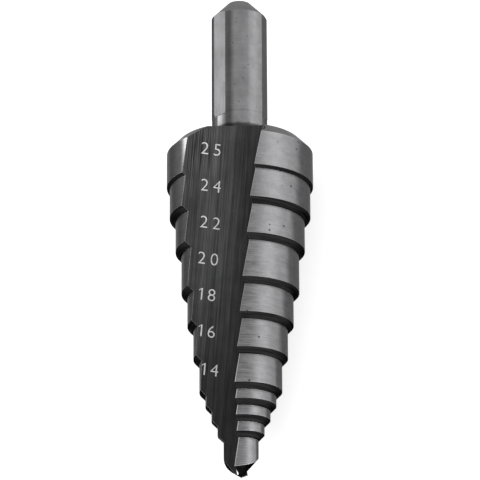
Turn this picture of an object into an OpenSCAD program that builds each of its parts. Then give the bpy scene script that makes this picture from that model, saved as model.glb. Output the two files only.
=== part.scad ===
// Step drill with two straight flutes and a shank with three flats.
// It is shaped point down along Z, then laid on its side as it rests on a bench.
// Seen along the axis, azimuths count from the front (-Y) toward the right (+X).

/* [Steps] */
// Diameter of the smallest step, at the tip
tip_step_dia = 6; // [5:0.5:7]
// How much wider each step is than the one before it
dia_rise = 2; // [1.6:0.1:2]
// Diameter of the widest step, at the shank end
top_step_dia = 25; // [24.5:0.1:26]
// Slope of the shoulder between two steps, from the axis
shoulder_angle = 45; // [40:1:50]
// Height of the first edge above the tip step, from the point
first_edge_z = 7; // [6:0.05:8]
// Length of each of the three short steps
short_len = 2.5; // [2:0.1:3]
// Length of each of the three middle steps
middle_len = 5.8; // [5:0.05:7]
// Length of the tall step
tall_len = 7.4; // [6:0.1:9]
// Length of the step above the tall one
upper_len = 6.05; // [5:0.05:7]
// Length of the step below the widest one
collar_len = 5.55; // [5:0.05:7]
// Length of the widest step, up to its chamfer
top_len = 6.1; // [5:0.1:8]
// Chamfer on the widest step's upper rim
rim_chamfer = 2; // [0.5:0.1:2.5]

/* [Relief] */
// Azimuth of the cutting edges, about which the relief is ground
edge_azimuth = 5; // [-5:1:15]
// How far the centre of each land's circle is moved toward its cutting edge
radial_relief = 0.1; // [0:0.01:0.3]
// How far each step's edge is tilted up at its highest
axial_relief = 0.2; // [0:0.01:0.3]
// Turn from the cutting edge back to where a step's edge is highest
relief_turn = 150; // [90:1:180]

/* [Point] */
// Half angle of the cone that each flank is ground to
flank_half_angle = 48; // [45:0.1:60]
// Tilt of that cone away from the lip
flank_tilt = 20; // [12:0.1:26]
// Azimuth toward which the flank lies flattest
flank_azimuth = -15; // [-30:1:0]
// Azimuth of the plane where the two halves of the tip meet
split_azimuth = -30; // [-35:1:-25]

/* [Flutes] */
// Lean of the flute away from the axis, toward the front
flute_lean = 9.65; // [8:0.05:11]
// Lean of the flute's root toward the right
flute_side_lean = 4.65; // [3:0.05:6]
// Place of the flute's root at the height of the point, across the axis
root_x = 0.62; // [0:0.01:1]
// Depth of the flute's root behind the axis at the height of the point
root_depth = 0.9; // [0:0.05:1.5]
// Rake of the cutting face
rake_angle = 27.6; // [15:0.1:35]
// Radius of the corner between the flute's wall and its cutting face, which leaves the web
root_radius = 1.5; // [1.2:0.1:2.5]

/* [Shank] */
// Diameter of the shank
shank_dia = 9.5; // [8:0.1:12.7]
// Length of the shank above the widest step
shank_len = 26; // [20:0.1:40]
// Diameter of the small flat face at the end of the shank
shank_tip_dia = 3.9; // [1:0.1:5]
// Length of the chamfer at the end of the shank
shank_chamfer = 2.85; // [1:0.05:4]
// Width of each of the three flats
flat_width = 2.8; // [2:0.1:3.5]
// Height of the round neck between the widest step and the flats
neck_len = 4.25; // [2:0.05:6]
// How far the neck is ground below the shank's round wall
neck_relief = 0.04; // [0.02:0.01:0.1]
// How far the flats run out past the round wall, into the neck
flat_runout = 0.5; // [0.2:0.1:1]
// Azimuth of the first flat
flat_azimuth = -48; // [-60:1:60]

/* [Rest] */
// Angle by which the axis dips toward the point as the drill lies
rest_dip = 5.4; // [0:0.1:12]
// Turn of the drill about its axis as it lies
rest_roll = 23.2; // [-90:0.1:90]
// Height of the point above the bench as the drill lies
rest_lift = 5.99; // [0:0.01:10]
// Distance from the middle of the laid length back to the point
rest_back = 42.4; // [30:0.01:60]
// Shift that centres the laid drill from side to side
rest_shift = 0; // [-5:0.01:5]

/* [Hidden] */
$fn = 96;

overrun = 1;
step_dias = concat([for (i = [0:9]) tip_step_dia + i * dia_rise], [top_step_dia]);
last = len(step_dias) - 1;
step_lens = [
    first_edge_z,
    short_len, short_len, short_len,
    middle_len, middle_len, middle_len,
    tall_len,
    upper_len,
    collar_len,
    top_len,
];
function edge_z(i) = i == 0 ? 0 : edge_z(i - 1) + step_lens[i - 1];
function step_r(i) = step_dias[i] / 2 - radial_relief;
rim_z = edge_z(last) + top_len;
body_len = rim_z + rim_chamfer;
top_r = top_step_dia / 2;
shank_r = shank_dia / 2;
shank_tip_r = shank_tip_dia / 2;
total_len = body_len + shank_len;
flat_depth = sqrt(shank_r * shank_r - flat_width * flat_width / 4);
flute_span = 2 * top_step_dia;

// Turns a child built toward the front (-Y) to an azimuth
module at_azimuth(azimuth) {
    rotate([0, 0, azimuth]) children();
}

// One step: a cylinder whose lower shoulder is a cone, tilted for its axial relief
module step(i) {
    r = step_r(i);
    tilt = atan(axial_relief / r);
    cone_len = r + top_step_dia;
    top_z = i == last ? body_len : edge_z(i + 1);
    intersection() {
        cylinder(h = top_z, r = r);
        translate([0, 0, edge_z(i) - axial_relief * cos(relief_turn)])
            at_azimuth(edge_azimuth + relief_turn)
                rotate([-tilt, 0, 0])
                    translate([0, 0, -r / tan(shoulder_angle)])
                        cylinder(h = cone_len / tan(shoulder_angle), r1 = 0, r2 = cone_len);
    }
}

// The tip step has no shoulder of its own: the flank cuts it off below
module tip_step() {
    cylinder(h = edge_z(1), r = step_r(0));
}

// All steps of one land, set off centre toward the cutting edge for the radial relief
module step_stack() {
    at_azimuth(edge_azimuth)
        translate([0, -radial_relief, 0])
            at_azimuth(-edge_azimuth) {
                tip_step();
                for (i = [1:last])
                    step(i);
            }
}

// Cone that the flank of the right land lies on
module flank() {
    at_azimuth(flank_azimuth)
        rotate([flank_tilt, 0, 0])
            cylinder(h = flute_span * 2, r1 = 0, r2 = flute_span * 2 * tan(flank_half_angle));
}

// Half of space to the right of the plane where the halves meet
module right_half() {
    at_azimuth(split_azimuth)
        translate([0, -flute_span, -overrun])
            cube([flute_span, 2 * flute_span, total_len + 2 * overrun]);
}

module right_land() {
    intersection() {
        step_stack();
        right_half();
        flank();
    }
}

// Round outside that the blank was turned to, with the chamfer on its upper rim
module turned_blank() {
    cylinder(h = rim_z, r = top_r);
    translate([0, 0, rim_z])
        cylinder(h = rim_chamfer, r1 = top_r, r2 = top_r - rim_chamfer);
}

// Section of a flute: a flat wall along X, a raked face, and a round corner between them
module flute_section() {
    corner = (90 - rake_angle) / 2;
    tangent = root_radius / tan(corner);
    centre = [-tangent, -root_radius];
    face_dir = [-sin(rake_angle), -cos(rake_angle)];
    translate(centre)
        circle(r = root_radius);
    polygon([
        centre,
        [-tangent, 0],
        [-flute_span, 0],
        [-flute_span, -flute_span],
        face_dir * flute_span,
        face_dir * tangent,
    ]);
}

// Front flute, which passes behind the axis at the tip and runs out of the upper rim
module front_flute() {
    translate([root_x, root_depth, 0])
        rotate([flute_lean, flute_side_lean, 0])
            translate([0, 0, -flute_span])
                linear_extrude(height = 3 * flute_span)
                    flute_section();
}

module fluted_body() {
    difference() {
        intersection() {
            union() {
                right_land();
                rotate([0, 0, 180]) right_land();
            }
            turned_blank();
        }
        front_flute();
        rotate([0, 0, 180]) front_flute();
    }
}

// Neck, and above it the shank with its end chamfer and three ground flats
module shank() {
    flat_z = body_len + neck_len;
    wall_z = flat_z + flat_runout;
    // The first flat is cut on +X, which a quarter turn back brings to its azimuth
    at_azimuth(flat_azimuth - 360 / 4)
        difference() {
            union() {
                translate([0, 0, edge_z(last)])
                    cylinder(h = wall_z - edge_z(last) + overrun, r = shank_r - neck_relief);
                translate([0, 0, wall_z])
                    cylinder(h = total_len - shank_chamfer - wall_z, r = shank_r);
                translate([0, 0, total_len - shank_chamfer])
                    cylinder(h = shank_chamfer, r1 = shank_r, r2 = shank_tip_r);
            }
            for (k = [0:2])
                at_azimuth(k * 360 / 3)
                    translate([flat_depth, -shank_r, flat_z])
                        cube([shank_r, shank_dia, total_len]);
        }
}

// Lays the drill on its side, point toward -Y, as it rests on two flute edges
module laid() {
    translate([rest_shift, -rest_back, rest_lift])
        rotate([rest_dip - 90, 0, 0])
            rotate([0, 0, rest_roll])
                children();
}

module step_drill() {
    color("dimgray") laid() {
        fluted_body();
        shank();
    }
}

step_drill();
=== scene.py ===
import math

import bpy
from mathutils import Matrix, Vector


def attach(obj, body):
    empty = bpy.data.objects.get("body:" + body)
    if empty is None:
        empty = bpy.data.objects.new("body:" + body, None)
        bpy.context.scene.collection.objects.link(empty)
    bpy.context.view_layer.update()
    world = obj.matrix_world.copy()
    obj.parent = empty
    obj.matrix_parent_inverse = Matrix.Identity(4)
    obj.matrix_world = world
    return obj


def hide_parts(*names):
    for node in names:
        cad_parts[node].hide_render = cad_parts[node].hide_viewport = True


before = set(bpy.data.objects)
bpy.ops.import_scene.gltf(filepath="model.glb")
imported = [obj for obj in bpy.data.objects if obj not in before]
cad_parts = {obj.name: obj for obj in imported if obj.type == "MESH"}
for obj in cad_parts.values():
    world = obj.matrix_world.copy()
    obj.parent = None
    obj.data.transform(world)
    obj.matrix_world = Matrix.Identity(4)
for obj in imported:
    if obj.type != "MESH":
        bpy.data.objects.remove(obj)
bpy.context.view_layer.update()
print("frame loaded")

# how the drill lies: rolled about its axis, then laid with its point a little down
lay = {"dip": 5.4, "roll": 23.2, "lift": 0.00599, "back": 0.0424}
dipTurn = Matrix.Rotation(math.radians(lay["dip"] - 90), 4, "X")
turn = dipTurn @ Matrix.Rotation(math.radians(lay["roll"]), 4, "Z")
laidPlace = Matrix.Translation((0, -lay["back"], lay["lift"])) @ turn   # takes the upright drill to the bench
uprightPlace = laidPlace.inverted()
mmPerMetre = 1000
up = Vector((0, 0, 1))


def upright(point):
    return uprightPlace @ Vector(point)


def laid(point):
    return laidPlace @ Vector(point)


# camera: square to the front of the upright drill, from a little toward its point, through a long lens
view = {
    "middle": 0.04187,      # height of what it looks at, from the drill's point
    "aside": 0.0000267,     # and how far that lies to the left of the axis
    "distance": 0.6749,
    "below": 20.2,          # degrees that it stands below square
    "lean": -0.26,          # degrees that the picture is turned
    "lens": 300,
    "sensor": 36,
    "farEnd": 20,
    "frame": 480,           # pixels across the photograph, in which places on the wall are given
}
below = math.radians(view["below"])
lean = math.radians(view["lean"])
towardCamera = Vector((0, -math.cos(below), -math.sin(below)))
upAxis = Vector((0, -math.sin(below), math.cos(below)))
rightAxis = Vector((1, 0, 0))
leanedUp = upAxis * math.cos(lean) - rightAxis * math.sin(lean)
leanedRight = rightAxis * math.cos(lean) + upAxis * math.sin(lean)
target = Vector((0, 0, view["middle"])) - leanedRight * view["aside"]
spot = target + towardCamera * view["distance"]
spin = turn.to_3x3()
axes = Matrix((spin @ leanedRight, spin @ leanedUp, spin @ towardCamera)).transposed()
bpy.ops.object.camera_add()
camera = bpy.context.active_object
camera.data.lens = view["lens"]
camera.data.sensor_width = view["sensor"]
camera.data.clip_end = view["farEnd"]
camera.matrix_world = Matrix.Translation(laid(spot)) @ axes.to_4x4()
bpy.context.scene.camera = camera
print("camera set")


def plug(tree, value, socket):
    # another node's output is linked, and a plain value is set on the socket
    if isinstance(value, bpy.types.NodeSocket):
        tree.links.new(value, socket)
    else:
        socket.default_value = value


def addNode(tree, kind, inputs=None):
    node = tree.nodes.new(kind)
    for name, value in (inputs or {}).items():
        plug(tree, value, node.inputs[name])
    return node


def newMaterial(name):
    material = bpy.data.materials.new(name)
    material.use_nodes = True
    tree = material.node_tree
    return material, tree, tree.nodes["Principled BSDF"]


def mathNode(tree, operation, *values):
    node = addNode(tree, "ShaderNodeMath")
    node.operation = operation
    for value, socket in zip(values, node.inputs):
        plug(tree, value, socket)
    return node.outputs[0]


def times(tree, first, second):
    return mathNode(tree, "MULTIPLY", first, second)


def ramp(tree, value, low, high, toLow=0.0, toHigh=1.0, smooth=True):
    # toLow where the value is at low, toHigh where it is at high, and held past both
    node = addNode(tree, "ShaderNodeMapRange", {
        "Value": value, "From Min": low, "From Max": high, "To Min": toLow, "To Max": toHigh,
    })
    node.interpolation_type = "SMOOTHSTEP" if smooth else "LINEAR"
    return node.outputs["Result"]


def window(tree, value, opens, closes):
    # what the two ramps reach between them, and 0 outside
    return times(tree, ramp(tree, value, *opens), ramp(tree, value, *closes))


def mixColour(tree, factor, first, second, blend="MIX"):
    node = addNode(tree, "ShaderNodeMix")
    node.data_type = "RGBA"
    node.blend_type = blend
    # of the node's sockets, 0 is the factor, 6 and 7 are the two colours, and output 2 is the mixed one
    for socket, value in ((0, factor), (6, first), (7, second)):
        plug(tree, value, node.inputs[socket])
    return node.outputs[2]


def shaded(tree, tone, factor):
    return mixColour(tree, 1.0, tone, factor, "MULTIPLY")


tinge = 1.02   # a touch of blue, as bare steel has


def grey(level):
    return (level, level, level * tinge, 1)


def drillCoords(tree):
    # coordinates of the upright drill in millimetres, from its point
    coords = addNode(tree, "ShaderNodeTexCoord")
    shift = addNode(tree, "ShaderNodeMapping", {
        "Vector": coords.outputs["Object"], "Location": (0, lay["back"], -lay["lift"]),
    })
    turnBack = addNode(tree, "ShaderNodeMapping", {
        "Vector": shift.outputs["Vector"], "Rotation": turn.inverted().to_euler(),
        "Scale": (mmPerMetre, mmPerMetre, mmPerMetre),
    })
    return turnBack.outputs["Vector"]


def splitUp(tree, coords):
    return addNode(tree, "ShaderNodeSeparateXYZ", {"Vector": coords}).outputs


def azimuthOf(tree, coords):
    # degrees from the front (-Y) toward the right (+X), seen along the upright drill
    x, y = splitUp(tree, coords)[:2]
    return times(tree, mathNode(tree, "ARCTAN2", x, times(tree, y, -1.0)), math.degrees(1))


def wrapped(tree, angle, shift, turnLength):
    return mathNode(tree, "FLOORED_MODULO", mathNode(tree, "ADD", angle, shift), turnLength)


def streaks(tree, coords, stretch, detail=4.0, rough=0.6):
    # noise drawn out along the directions that have a small scale
    mapped = addNode(tree, "ShaderNodeMapping", {"Vector": coords, "Scale": stretch})
    noise = addNode(tree, "ShaderNodeTexNoise", {
        "Vector": mapped.outputs["Vector"], "Scale": 1, "Detail": detail, "Roughness": rough,
    })
    return noise.outputs[0]


# marks that all the ground surfaces share: worn edges with a painted highlight, and painted shade in inner
# corners
wearAndPaintedLight = {
    "noise": (0.3, 0.7),          # the part of a noise's range that is used
    "softNoise": (0.35, 0.65),
    "bevelSamples": 6,
    "sharpness": (0.985, 0.88),   # rounded normal dotted with the face's, on a plain face and an edge
    "shadeSamples": 8,
    "shadeRange": (0.84, 0.99),   # occlusion from inner corner to open face, for the painted corner shade
    "bumpDistance": 0.00003,
    "edge": 0.35,                 # grey of a worn edge, lightened as a painted highlight
}


def edgeMask(tree, radius, strength):
    # strength along sharp edges, 0 on plain faces; it lays on worn edges with a painted highlight
    bevel = addNode(tree, "ShaderNodeBevel", {"Radius": radius})
    bevel.samples = wearAndPaintedLight["bevelSamples"]
    geometry = addNode(tree, "ShaderNodeNewGeometry")
    dot = addNode(tree, "ShaderNodeVectorMath")
    dot.operation = "DOT_PRODUCT"
    plug(tree, bevel.outputs[0], dot.inputs[0])
    plug(tree, geometry.outputs["Normal"], dot.inputs[1])
    return ramp(tree, dot.outputs["Value"], *wearAndPaintedLight["sharpness"], 0.0, strength)


def cornerShade(tree, reach, depth):
    # painted shade: darker where a face runs into an inner corner
    occlusion = addNode(tree, "ShaderNodeAmbientOcclusion", {"Distance": reach})
    occlusion.samples = wearAndPaintedLight["shadeSamples"]
    return ramp(tree, occlusion.outputs["AO"], *wearAndPaintedLight["shadeRange"], depth, 1.0)


def specked(tree, coords, tone, scale, size, depth):
    # small dark pits
    pits = addNode(tree, "ShaderNodeTexVoronoi", {"Vector": coords, "Scale": scale})
    return shaded(tree, tone, ramp(tree, pits.outputs["Distance"], size / 2, size, depth, 1.0))


def finishSteel(tree, shader, colour, marks, surface):
    # colour, gloss and a fine bump that follows the grinding marks
    plug(tree, colour, shader.inputs["Base Color"])
    shader.inputs["Metallic"].default_value = 1
    shader.inputs["Specular Tint"].default_value = (surface["tint"],) * 3 + (1,)
    plug(tree, ramp(tree, marks, *wearAndPaintedLight["noise"], *surface["roughness"]), shader.inputs["Roughness"])
    bump = addNode(tree, "ShaderNodeBump", {
        "Height": marks, "Strength": surface["bump"], "Distance": wearAndPaintedLight["bumpDistance"],
    })
    plug(tree, bump.outputs[0], shader.inputs["Normal"])


# what the finishes and the true normals need of the drill's own sizes, in mm and degrees
drill = {
    "bodyTop": 59.0,           # height of the widest step's upper end
    "rimFoot": 56.99,          # just under the foot of the chamfer there
    "tipTop": 5.2,             # the point's ground flanks lie below this
    "split": -30,              # azimuth of the plane between the halves
    "relief": 0.1,             # how far each land's circle is set off toward its cutting edge
    "edgeAzimuth": 5,
    "coneHalf": 48, "coneTilt": 20, "coneAzimuth": -15,   # cone that a flank is ground to
    "shankSlope": 2.8 / 2.85,  # of the end chamfer: its width over its length
    "flatAzimuth": -48,
    "lean": 9.65, "sideLean": 4.65, "root": (0.62, 0.9, 0), "corner": 1.5, "rake": 27.6,   # flute
    "fluteWay": (-0.383, -0.924),   # from the axis toward the front flute
    "joinGap": 0.000001,       # metres
}
fluteTurn = (Matrix.Rotation(math.radians(drill["sideLean"]), 3, "Y")
             @ Matrix.Rotation(math.radians(drill["lean"]), 3, "X"))

# the lands' ground skin, with painted reflection: light near the cutting edge and dark behind it, a painted
# highlight along the heel and painted shade in inner corners. Grey levels, and spans as from, to and the
# values between which they run.
# "round" spans are degrees from the front, "high" ones are mm from the point.
landFinishAndPaintedLight = {
    "light": 0.215, "dark": 0.10, "heel": 0.034, "glintLow": 0.15, "glintHigh": 0.27, "lipHighlight": 0.8,
    "roundFade": (47.5, 58, 1.0, 0.0),        # painted reflection: light turns dark
    "fadeWander": (6.0, -3.0),                # degrees by which blotches move that
    "highFadeEarly": (34.0, 14.0, 0.0, 4.0),  # degrees sooner that it comes near the point
    "roundRise": (-4.0, 46.0, 0.74, 1.0),     # painted reflection, lighter away from the cutting edge
    "highRise": (22.0, 4.0, 1.0, 1.17),       # painted light, lighter toward the point
    "roundHeel": (95.0, 112.0),               # painted shade: dark turns darker toward the heel
    # painted highlight along the heel, where it shows and where it is lightest
    "roundGlint": (121.5, 130.0), "glintLean": -0.05, "glintPower": 2.2,
    "highGlint": (24.0, 52.0), "highGlow": (50.0, 57.5),
    "rings": ((0.1, 0.1, 3.0), 4.0, 0.6), "ringShade": (0.92, 1.07),
    "blotch": ((0.25, 0.25, 0.35), 3.0, 0.6),
    "patch": ((0.7, 0.7, 0.9), 4.0, 0.6), "patchShade": (0.92, 1.06),
    "scratch": ((0.35, 0.35, 7.0), 3.0, 0.7), "scratchShade": (0.36, 0.6, -1.0, 0.6),
    "roundScratch": (8.0, 26.0, 0.28, 0.08), "highScratch": (30.0, 48.0, 1.0, 0.55),
    "shadeReach": 0.0005, "shadeDepth": 0.4,
    "pits": ((0.42, 0.11, 0.3), (1.1, 0.10, 0.6), (2.3, 0.12, 0.75)),   # scale, size and depth
    "highEdge": (24.0, 14.0), "edgeWidths": (0.00012, 0.0002), "edgeStrength": 0.8,
    "tint": 0.5, "roughness": (0.40, 0.48), "bump": 0.1,
}


def landMaterial():
    values = landFinishAndPaintedLight
    material, tree, shader = newMaterial("groundLand")
    coords = drillCoords(tree)
    z = splitUp(tree, coords)["Z"]
    # wrapped at the split between the halves, so that both lands are painted alike
    halfTurn = wrapped(tree, azimuthOf(tree, coords), -drill["split"], 180.0)
    angle = mathNode(tree, "ADD", halfTurn, drill["split"])
    rings = streaks(tree, coords, *values["rings"])
    blotch = streaks(tree, coords, *values["blotch"])
    patch = streaks(tree, coords, *values["patch"])
    scratch = streaks(tree, coords, *values["scratch"])
    # painted reflection: each land light near its cutting edge, fading to dark and darker toward the heel
    early = mathNode(tree, "SUBTRACT", angle, ramp(tree, z, *values["highFadeEarly"]))
    wander = mathNode(tree, "MULTIPLY_ADD", blotch, *values["fadeWander"])
    fade = ramp(tree, mathNode(tree, "ADD", early, wander), *values["roundFade"])
    rise = ramp(tree, angle, *values["roundRise"], smooth=False)
    rise = times(tree, rise, ramp(tree, z, *values["highRise"]))
    # painted highlight along the heel, lightest high up
    leaned = mathNode(tree, "ADD", angle, times(tree, z, values["glintLean"]))
    heel = mathNode(tree, "POWER", ramp(tree, leaned, *values["roundGlint"]), values["glintPower"])
    glint = times(tree, heel, ramp(tree, z, *values["highGlint"]))
    light = shaded(tree, grey(values["light"]), rise)
    shade = mixColour(tree, ramp(tree, angle, *values["roundHeel"]),
                      grey(values["dark"]), grey(values["heel"]))
    glow = mixColour(tree, ramp(tree, z, *values["highGlow"]),
                     grey(values["glintLow"]), grey(values["glintHigh"]))
    level = mixColour(tree, glint, mixColour(tree, fade, shade, light), glow)
    near = times(tree, ramp(tree, angle, *values["roundScratch"]), ramp(tree, z, *values["highScratch"]))
    worn = mathNode(tree, "MULTIPLY_ADD", ramp(tree, scratch, *values["scratchShade"]), near, 1.0)
    # painted shade where the land runs into the shoulder above
    corners = cornerShade(tree, values["shadeReach"], values["shadeDepth"])
    tone = shaded(tree, shaded(tree, level, worn), corners)
    tone = shaded(tree, tone, ramp(tree, rings, *wearAndPaintedLight["noise"], *values["ringShade"]))
    tone = shaded(tree, tone, ramp(tree, patch, *wearAndPaintedLight["softNoise"], *values["patchShade"]))
    for pit in values["pits"]:
        tone = specked(tree, coords, tone, *pit)
    # worn edges with a painted highlight, brightest on the lips near the point
    width = ramp(tree, z, *values["highEdge"], *values["edgeWidths"])
    bright = mixColour(tree, ramp(tree, z, *values["highEdge"]), grey(wearAndPaintedLight["edge"]), grey(values["lipHighlight"]))
    colour = mixColour(tree, edgeMask(tree, width, values["edgeStrength"]), tone, bright)
    finishSteel(tree, shader, colour, rings, values)
    return material


# the flutes' skin, scored along the flute, with painted shade near the root and low on the drill and a
# painted highlight at the point.
# "across" spans are mm across the wall from its root.
fluteFinishAndPaintedLight = {
    # "middle" near the root and "deep" low on the drill are painted shade
    "level": 0.055, "middle": 0.030, "deep": 0.022, "sliverHighlight": 0.7,
    "acrossMiddle": (1.5, 7.0), "highDeep": (6.0, 42.0),
    "lines": ((3.4, 0.6, 0.035), 5.0, 0.7), "lineShade": (0.68, 1.4),
    "wide": ((0.9, 0.4, 0.03), 3.0, 0.6), "wideShade": (0.88, 1.12),
    "cloud": ((0.3, 0.3, 0.25), 4.0, 0.6), "cloudShade": (0.9, 1.1),
    "fine": ((7.5, 1.0, 0.10), 3.0, 0.7), "fineShade": (0.34, 0.66, -0.85, 1.6),
    "acrossOuter": (-6.5, -10.5), "highOuter": (44.0, 55.0), "fineSwing": (0.55, 0.2),   # scored deeper there
    # painted highlight on the web, where the wall ends at the point
    "sliverSlant": 0.62, "sliverOpens": (-0.42, -0.30), "sliverCloses": (-0.12, 0.0, 1.0, 0.0),
    "sliverTop": (1.55, 1.35),
    "highEdge": (17.0, 13.0), "edgeWidths": (0.00010, 0.00014), "edgeStrength": 0.8,
    "highEdgeEnd": (58.2, 58.8, 1.0, 0.0),    # no worn edge or painted highlight where the flute meets the neck
    "tint": 0.3, "roughness": (0.38, 0.5), "bump": 0.2,
}


def fluteCoords(tree, coords):
    # the same for both flutes: X across the wall, Y into it and Z along it
    x, y, z = splitUp(tree, coords)
    wayX, wayY = drill["fluteWay"]
    front = mathNode(tree, "SIGN", mathNode(tree, "ADD", times(tree, x, wayX), times(tree, y, wayY)))
    joined = addNode(tree, "ShaderNodeCombineXYZ", {
        "X": times(tree, x, front), "Y": times(tree, y, front), "Z": z,
    })
    along = addNode(tree, "ShaderNodeMapping", {
        "Vector": joined.outputs[0], "Rotation": fluteTurn.inverted().to_euler(),
    })
    return along.outputs["Vector"]


def fluteMaterial():
    values = fluteFinishAndPaintedLight
    material, tree, shader = newMaterial("groundFlute")
    coords = drillCoords(tree)
    z = splitUp(tree, coords)["Z"]
    along = fluteCoords(tree, coords)
    inWall = splitUp(tree, along)
    across, rise = inWall["X"], inWall["Z"]
    lines = streaks(tree, along, *values["lines"])
    wide = streaks(tree, along, *values["wide"])
    fine = streaks(tree, along, *values["fine"])
    cloud = streaks(tree, coords, *values["cloud"])
    fromRoot = mathNode(tree, "ABSOLUTE", across)
    # painted shade: darker near the flute's root and low on the drill
    level = mixColour(tree, ramp(tree, fromRoot, *values["acrossMiddle"]),
                      grey(values["middle"]), grey(values["level"]))
    level = mixColour(tree, ramp(tree, z, *values["highDeep"]), grey(values["deep"]), level)
    tone = shaded(tree, level, ramp(tree, lines, *wearAndPaintedLight["noise"], *values["lineShade"]))
    tone = shaded(tree, tone, ramp(tree, wide, *wearAndPaintedLight["softNoise"], *values["wideShade"]))
    tone = shaded(tree, tone, ramp(tree, cloud, *wearAndPaintedLight["softNoise"], *values["cloudShade"]))
    outer = times(tree, ramp(tree, across, *values["acrossOuter"]), ramp(tree, z, *values["highOuter"]))
    swing = mathNode(tree, "MULTIPLY_ADD", outer, *values["fineSwing"])
    scored = mathNode(tree, "MULTIPLY_ADD", ramp(tree, fine, *values["fineShade"]), swing, 1.0)
    tone = shaded(tree, tone, scored)
    # painted highlight on the web at the point
    slant = mathNode(tree, "MULTIPLY_ADD", rise, values["sliverSlant"], across)
    inside = window(tree, slant, values["sliverOpens"], values["sliverCloses"])
    sliverHighlight = times(tree, inside, ramp(tree, rise, *values["sliverTop"]))
    tone = mixColour(tree, sliverHighlight, tone, grey(values["sliverHighlight"]))
    # worn edges with a painted highlight
    width = ramp(tree, z, *values["highEdge"], *values["edgeWidths"])
    edge = times(tree, edgeMask(tree, width, values["edgeStrength"]), ramp(tree, z, *values["highEdgeEnd"]))
    finishSteel(tree, shader, mixColour(tree, edge, tone, grey(wearAndPaintedLight["edge"])), lines, values)
    return material


shoulderFinishAndPaintedLight = {
    "level": 0.022,
    "rings": ((0.15, 0.15, 4.5), 4.0, 0.7), "ringShade": (0.32, 0.68, 0.55, 1.7),
    "shadeReach": 0.0004, "shadeDepth": 0.5,
    "highTip": (4.0, 6.0, 0.4, 1.0),          # the point's flanks are darker
    "edgeWidth": 0.00006, "edgeStrength": 0.12,
    "tint": 0.1, "roughness": (0.42, 0.52), "bump": 0.08,
}


def shoulderMaterial():
    values = shoulderFinishAndPaintedLight
    material, tree, shader = newMaterial("blackShoulder")
    coords = drillCoords(tree)
    rings = streaks(tree, coords, *values["rings"])
    tone = shaded(tree, grey(values["level"]), ramp(tree, rings, *values["ringShade"]))
    # painted shade in inner corners
    tone = shaded(tree, tone, cornerShade(tree, values["shadeReach"], values["shadeDepth"]))
    tone = shaded(tree, tone, ramp(tree, splitUp(tree, coords)["Z"], *values["highTip"]))
    # worn edges with a faint painted highlight
    edge = edgeMask(tree, values["edgeWidth"], values["edgeStrength"])
    finishSteel(tree, shader, mixColour(tree, edge, tone, grey(wearAndPaintedLight["edge"])), rings, values)
    return material


# the shank's round wall and neck, with painted light and shade that change round it and painted shade at its
# foot.
# "third" spans are degrees round from 90 before each flat's middle, "flat" ones from its middle, and "round"
# ones from the front.
shankFinishAndPaintedLight = {
    "level": 0.215, "band": 0.08,
    # dark band right of each flat
    "flatBandOpens": (13.0, 20.0), "flatBandCloses": (26.0, 40.0, 1.0, 0.0),
    # painted light and shade: step from sink to lift, and back, which also gives the neck its painted
    # highlight
    "thirdStepOpens": (35.6, 37.4), "thirdStepCloses": (97.0, 102.0, 1.0, 0.0),
    "thirdSink": (16.0, 35.0, 1.03, 0.82), "thirdLift": (37.0, 72.0, 0.88, 1.22),
    # painted shade on the sides
    "roundLeftOpens": (-50.5, -54.5), "roundLeftCloses": (-120.0, -95.0),
    "roundRightOpens": (52.5, 56.0, 0.0, 0.7), "roundRightCloses": (86.0, 89.0, 1.0, 0.0),
    "rings": ((0.12, 0.12, 3.0), 4.0, 0.6), "ringShade": (0.93, 1.06),
    "blotch": ((0.3, 0.3, 0.2), 3.0, 0.6), "blotchShade": (0.9, 1.08),
    "patch": ((0.8, 0.8, 0.6), 4.0, 0.6), "patchShade": (0.93, 1.05),
    "highFoot": (61.15, 61.7, 0.25, 1.0), "footWander": (0.6, -0.3),   # painted shade at the foot, by the flutes
    "pit": (0.6, 0.10, 0.5),
    "edgeWidth": 0.00008, "edgeStrength": 0.6,
    "tint": 0.2, "roughness": (0.48, 0.56), "bump": 0.08,
}


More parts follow.
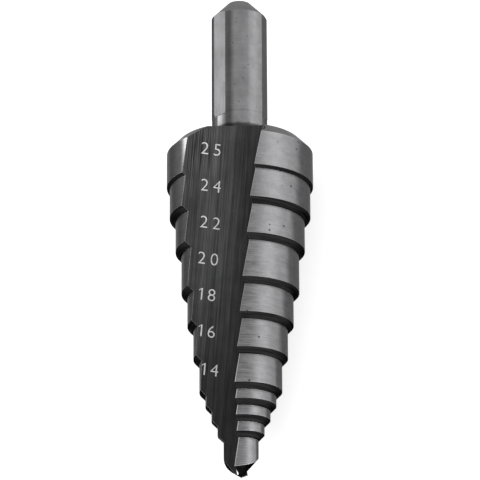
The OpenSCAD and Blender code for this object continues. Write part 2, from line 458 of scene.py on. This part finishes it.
def shankMaterial():
    values = shankFinishAndPaintedLight
    material, tree, shader = newMaterial("groundShank")
    coords = drillCoords(tree)
    z = splitUp(tree, coords)["Z"]
    angle = azimuthOf(tree, coords)
    rings = streaks(tree, coords, *values["rings"])
    blotch = streaks(tree, coords, *values["blotch"])
    patch = streaks(tree, coords, *values["patch"])
    # the pattern comes again with each of the three flats
    third = 360.0 / 3
    turned = wrapped(tree, angle, third / 2 - drill["flatAzimuth"], third)
    fromFlat = mathNode(tree, "SUBTRACT", turned, third / 2)
    around = wrapped(tree, angle, 90.0 - drill["flatAzimuth"], third)
    band = window(tree, fromFlat, values["flatBandOpens"], values["flatBandCloses"])
    step = window(tree, around, values["thirdStepOpens"], values["thirdStepCloses"])
    # painted light and shade, darker then lighter round each third
    sink = ramp(tree, around, *values["thirdSink"], smooth=False)
    lift = ramp(tree, around, *values["thirdLift"], smooth=False)
    plain = shaded(tree, grey(values["level"]), mixColour(tree, step, sink, lift))
    # painted shade on the sides
    left = window(tree, angle, values["roundLeftOpens"], values["roundLeftCloses"])
    right = window(tree, angle, values["roundRightOpens"], values["roundRightCloses"])
    level = mixColour(tree, band, plain, grey(values["band"]))
    tone = mixColour(tree, mathNode(tree, "MAXIMUM", left, right), level, grey(values["band"]))
    tone = shaded(tree, tone, ramp(tree, rings, *wearAndPaintedLight["noise"], *values["ringShade"]))
    tone = shaded(tree, tone, ramp(tree, blotch, *wearAndPaintedLight["noise"], *values["blotchShade"]))
    tone = shaded(tree, tone, ramp(tree, patch, *wearAndPaintedLight["softNoise"], *values["patchShade"]))
    tone = specked(tree, coords, tone, *values["pit"])
    # worn edges with a painted highlight
    edge = edgeMask(tree, values["edgeWidth"], values["edgeStrength"])
    # painted shade at the foot, where the shank meets the body
    wander = mathNode(tree, "MULTIPLY_ADD", patch, *values["footWander"])
    foot = ramp(tree, mathNode(tree, "ADD", z, wander), *values["highFoot"])
    colour = shaded(tree, mixColour(tree, edge, tone, grey(wearAndPaintedLight["edge"])), foot)
    finishSteel(tree, shader, colour, rings, values)
    return material


# smaller faces: the rim's chamfer, the three flats and the chamfer at the shank's end, with painted shade at
# the flats' foot
smallFinishAndPaintedLight = {
    "rimChamfer": {"level": 0.15, "marks": (0.12, 0.12, 3.0)},
    "shankFlat": {"level": 0.089, "marks": (2.0, 2.0, 0.1), "highFoot": (63.3, 63.55, 0.25, 1.0)},
    "endChamfer": {"level": 0.165, "marks": (0.12, 0.12, 3.0)},
    "markShade": (0.9, 1.1),
    "blotch": ((0.3, 0.3, 0.25), 4.0, 0.6), "blotchShade": (0.88, 1.1),
    "edgeWidth": 0.00008, "edgeStrength": 0.6,
    "tint": 0.5, "roughness": (0.38, 0.46), "bump": 0.08,
}


def smallMaterial(name):
    values = smallFinishAndPaintedLight
    own = values[name]
    material, tree, shader = newMaterial(name)
    coords = drillCoords(tree)
    marks = streaks(tree, coords, own["marks"])
    blotch = streaks(tree, coords, *values["blotch"])
    tone = shaded(tree, grey(own["level"]), ramp(tree, marks, *wearAndPaintedLight["noise"], *values["markShade"]))
    tone = shaded(tree, tone, ramp(tree, blotch, *wearAndPaintedLight["noise"], *values["blotchShade"]))
    # painted shade at the foot of each flat
    if "highFoot" in own:
        tone = shaded(tree, tone, ramp(tree, splitUp(tree, coords)["Z"], *own["highFoot"]))
    # worn edges with a painted highlight
    edge = edgeMask(tree, values["edgeWidth"], values["edgeStrength"])
    finishSteel(tree, shader, mixColour(tree, edge, tone, grey(wearAndPaintedLight["edge"])), marks, values)
    return material


# the material of each kind of ground surface
kinds = {
    "land": "groundLand", "flute": "groundFlute", "corner": "groundFlute",
    "shoulder": "blackShoulder", "tip": "blackShoulder", "shank": "groundShank",
    "rim": "rimChamfer", "flat": "shankFlat", "shankCone": "endChamfer",
}
# how faces are told apart: radii and heights in mm, the rest parts of a unit normal
sorting = {
    "onAxis": 0.001, "heightSlack": 0.02, "cornerSlack": 0.03, "cornerFrom": -2.47,
    "wallRadius": 4.64, "wallOutward": 0.99, "wallUp": 0.03, "ledgeUp": -0.9, "coneUp": (0.2, 0.95),
    "rimOutward": 0.5, "rimUp": 0.5, "landOutward": 0.985, "landUp": 0.05,
    "tipOutward": -0.2, "tipUp": -0.2, "shoulderOutward": 0.3, "shoulderUp": -0.45,
    "sameTip": 0.9, "sameCorner": 0.8,   # a true normal that agrees less with the face isn't used
}
halfCorner = math.radians((90 - drill["rake"]) / 2)
cornerCentre = Vector((-drill["corner"] / math.tan(halfCorner), -drill["corner"]))
fluteRoot = Vector(drill["root"])


def inFlute(point):
    # a place on the upright drill, in the flute's own directions from its root
    return fluteTurn.inverted() @ (point - fluteRoot)


def halfTurned(point):
    return Vector((-point.x, -point.y, point.z))


def offCorner(place):
    # how far a place in the flute's section lies from its round corner
    return abs(math.hypot(place.x - cornerCentre.x, place.y - cornerCentre.y) - drill["corner"])


def shankKind(radius, outward, rise):
    onWall = radius > sorting["wallRadius"]
    if rise < sorting["ledgeUp"] and onWall:
        return "shank"
    if abs(rise) < sorting["wallUp"]:
        return "shank" if onWall and outward > sorting["wallOutward"] else "flat"
    low, high = sorting["coneUp"]
    return "shankCone" if low < rise < high else "flat"


def kindOf(centre, normal):
    # the ground surface that a face lies on, from its centre and normal on the upright drill
    radius = math.hypot(centre.x, centre.y)
    outward = (normal.x * centre.x + normal.y * centre.y) / max(radius, sorting["onAxis"])
    if centre.z > drill["bodyTop"] - sorting["heightSlack"]:
        return shankKind(radius, outward, normal.z)
    if centre.z > drill["rimFoot"] and outward > sorting["rimOutward"] and normal.z > sorting["rimUp"]:
        return "rim"
    if abs(normal.z) < sorting["landUp"] and outward > sorting["landOutward"]:
        return "land"
    if centre.z < drill["tipTop"] and normal.z < sorting["tipUp"] and outward > sorting["tipOutward"]:
        return "tip"
    if normal.z < sorting["shoulderUp"] and outward > sorting["shoulderOutward"]:
        return "shoulder"
    place = min((inFlute(centre), inFlute(halfTurned(centre))), key=offCorner)
    onCorner = sorting["cornerFrom"] < place.x < 0 and offCorner(place) < sorting["cornerSlack"]
    return "corner" if onCorner else "flute"


def landCentre(point):
    # centre of the circle that the land at this place is ground to
    toward = math.radians(drill["edgeAzimuth"])
    centre = Vector((math.sin(toward), -math.cos(toward), 0)) * drill["relief"]
    split = math.radians(drill["split"])
    return -centre if point.x * math.cos(split) + point.y * math.sin(split) < 0 else centre


def nearest(guesses, normal, least):
    best = max(guesses, key=lambda guess: guess.dot(normal), default=normal)
    return best if best.dot(normal) > least else normal


def tipNormal(point, normal):
    turned = (Matrix.Rotation(math.radians(drill["coneAzimuth"]), 3, "Z")
              @ Matrix.Rotation(math.radians(drill["coneTilt"]), 3, "X"))
    half = math.radians(drill["coneHalf"])
    guesses = []
    for axis in (turned @ up, halfTurned(turned @ up)):
        side = point - axis * point.dot(axis)
        if side.length >= sorting["onAxis"]:
            guesses.append(side.normalized() * math.cos(half) - axis * math.sin(half))
    return nearest(guesses, normal, sorting["sameTip"])


def cornerNormal(point, normal):
    guesses = []
    for place, turnBack in ((point, Vector), (halfTurned(point), halfTurned)):
        local = inFlute(place)
        inward = Vector((cornerCentre.x - local.x, cornerCentre.y - local.y, 0)).normalized()
        guesses.append(turnBack(fluteTurn @ inward))
    return nearest(guesses, normal, sorting["sameCorner"])


def trueNormal(kind, point, normal):
    # the ground surface's own normal at a point, so that the shading follows the true curve
    outward = Vector((point.x, point.y, 0))
    if kind in ("land", "shoulder"):
        outward = (outward - landCentre(point)).normalized()
        return outward if kind == "land" else (outward - up).normalized()
    outward = outward.normalized()
    if kind == "shank":
        return outward
    if kind == "shankCone":
        return (outward + up * drill["shankSlope"]).normalized()
    if kind == "rim":
        return (outward + up).normalized()
    if kind == "tip":
        return tipNormal(point, normal)
    return cornerNormal(point, normal) if kind == "corner" else normal


def selectOnly(piece):
    bpy.ops.object.select_all(action="DESELECT")
    piece.select_set(True)
    bpy.context.view_layer.objects.active = piece


def makeDrill():
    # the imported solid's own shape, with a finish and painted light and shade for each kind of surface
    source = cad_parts["step_drill"]
    piece = bpy.data.objects.new("drillBody", source.data.copy())
    bpy.context.scene.collection.objects.link(piece)
    selectOnly(piece)
    bpy.ops.mesh.customdata_custom_splitnormals_clear()
    bpy.ops.object.mode_set(mode="EDIT")
    bpy.ops.mesh.select_all(action="SELECT")
    bpy.ops.mesh.remove_doubles(threshold=drill["joinGap"])
    bpy.ops.object.mode_set(mode="OBJECT")
    bpy.ops.object.shade_smooth()
    mesh = piece.data
    mesh.materials.clear()
    for material in (landMaterial(), fluteMaterial(), shoulderMaterial(), shankMaterial()):
        mesh.materials.append(material)
    for name in ("rimChamfer", "shankFlat", "endChamfer"):
        mesh.materials.append(smallMaterial(name))
    slots = {kind: mesh.materials.find(name) for kind, name in kinds.items()}
    back, out = uprightPlace.to_3x3(), turn.to_3x3()
    normals = [None] * len(mesh.loops)
    counts = {kind: 0 for kind in kinds}
    for face in mesh.polygons:
        normal = back @ face.normal
        kind = kindOf(upright(face.center) * mmPerMetre, normal)
        counts[kind] += 1
        face.material_index = slots[kind]
        for loop in face.loop_indices:
            point = upright(mesh.vertices[mesh.loops[loop].vertex_index].co) * mmPerMetre
            normals[loop] = (out @ trueNormal(kind, point, normal)).normalized()
    mesh.normals_split_custom_set(normals)
    print("faces of each kind", counts)
    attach(piece, "root")
    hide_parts("step_drill")
    return piece


drillBody = makeDrill()
print("drill finished", len(drillBody.data.polygons), "faces")

# size numbers on the front flute's wall, each a thin pale mark on a wider dark one. Lengths are in mm.
numbers = {
    "marks": [("25", 211.5, 149.8), ("24", 211.2, 186.5), ("22", 210.5, 223.4), ("20", 208.4, 259.4),
              ("18", 207, 295.2), ("16", 206.6, 331.8), ("14", 209.8, 370.4)],   # middles in the photograph
    "tall": 2.97, "thin": -0.028, "apart": 1.42, "apartOne": 1.12,
    "thick": 0.012,      # half of a mark's thickness
    "raisedShare": 0.4,  # of that, how far its middle stands off the wall
    "turned": -4.2, "slant": -0.06, "curveSteps": 4,
    "level": 0.95, "rimLevel": 0.012, "rimWide": 0.045, "rimShare": 0.5,
    "cloud": (2.0, 2.0, 2.0), "cloudDetail": 3.0, "cloudShade": (0.8, 1.15), "roughness": 0.7,
    "flag": (0.62, 0.15), "flagTurn": 40, "flagPlace": (-0.12, -0.24),   # short upper stroke of a 1
    "flagWiden": 0.044, "flagThick": 1.9, "flagReach": 0.5,
    "joinGap": 0.0000005,   # metres
}
wallAcross, wallOut, wallAlong = (fluteTurn @ axis for axis in (Vector((1, 0, 0)), Vector((0, -1, 0)), up))


def wallPoint(column, row):
    # the point on the flute's wall, in mm on the upright drill, that the camera sees at that pixel
    half = view["frame"] / 2
    focal = view["lens"] / view["sensor"] * view["frame"]
    ray = leanedRight * (column - half) + leanedUp * (half - row) - towardCamera * focal
    start = spot * mmPerMetre
    reach = (fluteRoot - start).dot(wallOut) / ray.dot(wallOut)
    return start + ray * reach


def numberMaterial(name, level):
    material, tree, shader = newMaterial(name)
    cloud = streaks(tree, drillCoords(tree), numbers["cloud"], numbers["cloudDetail"])
    tone = shaded(tree, grey(level), ramp(tree, cloud, *wearAndPaintedLight["noise"], *numbers["cloudShade"]))
    plug(tree, tone, shader.inputs["Base Color"])
    shader.inputs["Roughness"].default_value = numbers["roughness"]
    return material


def addText(text, swell, thick):
    bpy.ops.object.select_all(action="DESELECT")
    bpy.ops.object.text_add()
    mark = bpy.context.active_object
    mark.data.body = text
    mark.data.align_x = "CENTER"
    mark.data.align_y = "CENTER"
    mark.data.size = numbers["tall"]
    mark.data.space_character = numbers["apartOne" if text[0] == "1" else "apart"]
    mark.data.shear = numbers["slant"]
    mark.data.offset = numbers["thin"] + swell
    mark.data.extrude = thick
    mark.data.resolution_u = numbers["curveSteps"]
    bpy.ops.object.convert(target="MESH")
    return mark


def addFlag(mark, swell, thick):
    # the font's 1 is a plain bar, so its upper stroke is added at its top left
    left = min(v.co.x for v in mark.data.vertices)
    top = max(v.co.y for v in mark.data.vertices if v.co.x < left + numbers["flagReach"])
    length, width = numbers["flag"]
    aside, down = numbers["flagPlace"]
    bpy.ops.mesh.primitive_cube_add(size=1)
    flag = bpy.context.active_object
    flag.scale = (length + swell, width + 2 * (swell + numbers["thin"]) + numbers["flagWiden"],
                  numbers["flagThick"] * thick)
    flag.rotation_euler = (0, 0, math.radians(numbers["flagTurn"]))
    flag.location = (left + swell + aside, top - swell + down, 0)
    bpy.ops.object.transform_apply(location=True, rotation=True, scale=True)
    return flag


def makeMark(text, place, swell, thick):
    # one number laid on the wall, its strokes widened by swell
    mark = addText(text, swell, thick)
    pieces = [mark, addFlag(mark, swell, thick)] if text[0] == "1" else [mark]
    onWall = Matrix((wallAcross, wallAlong, wallOut)).transposed().to_4x4()
    onWall = onWall @ Matrix.Rotation(math.radians(numbers["turned"]), 4, "Z")
    for piece in pieces:
        selectOnly(piece)
        piece.matrix_world = laidPlace @ Matrix.Scale(1 / mmPerMetre, 4) @ Matrix.Translation(place) @ onWall
        bpy.ops.object.transform_apply(location=True, rotation=True, scale=True)
    return pieces


def makeNumbers():
    layers = (("numberRim", numbers["rimLevel"], numbers["rimWide"], numbers["rimShare"]),
              ("etchedNumber", numbers["level"], 0, 1.0))
    parts = []
    for name, level, swell, share in layers:
        material = numberMaterial(name, level)
        for text, column, row in numbers["marks"]:
            place = wallPoint(column, row) + wallOut * numbers["thick"] * numbers["raisedShare"]
            for piece in makeMark(text, place, swell, numbers["thick"] * share):
                piece.data.materials.clear()
                piece.data.materials.append(material)
                parts.append(piece)
    selectOnly(parts[0])
    for part in parts:
        part.select_set(True)
    bpy.ops.object.join()
    piece = bpy.context.active_object
    piece.name = "sizeNumbers"
    bpy.ops.object.mode_set(mode="EDIT")
    bpy.ops.mesh.select_all(action="SELECT")
    bpy.ops.mesh.remove_doubles(threshold=numbers["joinGap"])
    bpy.ops.mesh.normals_make_consistent(inside=False)
    bpy.ops.object.mode_set(mode="OBJECT")
    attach(piece, "root")


makeNumbers()
print("size numbers placed")

white = (1, 1, 1, 1)
studio = {"bench": 3.0, "benchLevel": 0.8, "benchGlow": 0.70, "benchRoughness": 0.9, "world": 0.55}


def backdropRays(tree):
    # 1 for the camera's rays and for those that steel or glass sends on, which see the white backdrop
    path = addNode(tree, "ShaderNodeLightPath")
    seen = mathNode(tree, "MAXIMUM", path.outputs["Is Camera Ray"], path.outputs["Is Glossy Ray"])
    return mathNode(tree, "MAXIMUM", seen, path.outputs["Is Transmission Ray"])


def makeBench():
    bpy.ops.object.select_all(action="DESELECT")
    bpy.ops.mesh.primitive_plane_add(size=studio["bench"])
    bench = bpy.context.active_object
    bench.name = "bench"
    material, tree, shader = newMaterial("paleBench")
    shader.inputs["Base Color"].default_value = (studio["benchLevel"],) * 3 + (1,)
    shader.inputs["Roughness"].default_value = studio["benchRoughness"]
    shader.inputs["Specular IOR Level"].default_value = 0
    shader.inputs["Emission Color"].default_value = white
    plug(tree, times(tree, backdropRays(tree), studio["benchGlow"]), shader.inputs["Emission Strength"])
    bench.data.materials.append(material)


def makeWorld():
    world = bpy.data.worlds.new("studioWorld")
    bpy.context.scene.world = world
    world.use_nodes = True
    tree = world.node_tree
    background = tree.nodes["Background"]
    background.inputs["Color"].default_value = white
    strength = ramp(tree, backdropRays(tree), 0, 1, studio["world"], 1.0, smooth=False)
    plug(tree, strength, background.inputs["Strength"])


# each lamp: azimuth and height seen from the upright drill, distance, width and height, and watts
lamps = {
    "keyLamp": {"azimuth": 60, "height": 26, "away": 0.6, "size": (0.42, 0.42), "power": 1.4},
    "fillLamp": {"azimuth": -98, "height": 24, "away": 0.6, "size": (0.16, 0.42), "power": 1.7},
}
lampTarget = (0, 0, 0.035)   # on the upright drill's axis, from its point


def makeLamps():
    for name, lamp in lamps.items():
        azimuth, height = math.radians(lamp["azimuth"]), math.radians(lamp["height"])
        outward = Vector((math.sin(azimuth), -math.cos(azimuth), 0)) * math.cos(height)
        way = turn.to_3x3() @ (outward + up * math.sin(height))
        bpy.ops.object.light_add(type="AREA", location=laid(lampTarget) + way * lamp["away"])
        light = bpy.context.active_object
        light.name = name
        light.rotation_euler = way.to_track_quat("Z", "Y").to_euler()
        light.data.shape = "RECTANGLE"
        light.data.size, light.data.size_y = lamp["size"]
        light.data.energy = lamp["power"]


makeBench()
makeWorld()
makeLamps()
bpy.context.scene.view_settings.view_transform = "Standard"
print("bench, world and lamps ready")
